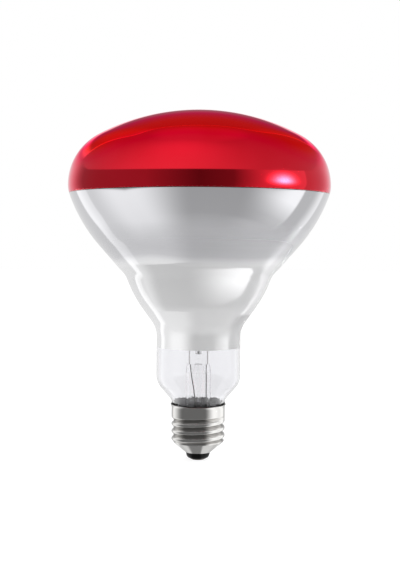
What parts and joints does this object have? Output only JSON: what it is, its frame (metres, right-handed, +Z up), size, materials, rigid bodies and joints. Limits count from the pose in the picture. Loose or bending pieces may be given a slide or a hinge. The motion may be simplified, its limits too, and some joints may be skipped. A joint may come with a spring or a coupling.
{
  "type": "infrared heat lamp bulb",
  "caption": "Reflector heat lamp bulb with a domed red front, a mirrored flared bowl, a clear neck that shows the glass stem, and a threaded screw cap with a black tip.",
  "frame": {"origin": "tip of the centre contact, on the lamp's axis", "axes": "+Z up the lamp's axis from the contact to the crown, -Y towards the picture's viewer"},
  "size_m": [0.127, 0.127, 0.1696],
  "materials": {
    "bulb_glass": "blown glass: red front, mirrored bowl, clear neck",
    "stem_glass": "clear drawn and pressed glass",
    "nickel_cap": "nickel-plated rolled sheet",
    "dark_cement": "dark heat-proof cement",
    "black_glass": "opaque black glass, glossy",
    "contact_brass": "pressed brass, dulled",
    "solder": "solder, dull grey",
    "copper_wire": "bare drawn wire",
    "nickel_wire": "bare drawn wire",
    "tungsten_coil": "wound wire, dark grey"
  },
  "bodies": {
    "root": {"glass_envelope": "bulb_glass", "stem_glass": "stem_glass", "exhaust_tube": "stem_glass", "arbor_rod": "stem_glass", "cap_shell": "nickel_cap", "basing_cement": "dark_cement", "cap_insulator": "black_glass", "centre_contact": "contact_brass", "centre_solder": "solder", "side_solder": "solder", "centre_lead": "copper_wire", "side_lead": "copper_wire", "seal_wire_left": "copper_wire", "seal_wire_right": "copper_wire", "inner_lead_left": "nickel_wire", "inner_lead_right": "nickel_wire", "filament_support_1": "nickel_wire", "filament_support_2": "nickel_wire", "filament_support_3": "nickel_wire", "filament_coil": "tungsten_coil"}
  },
  "joints": []
}
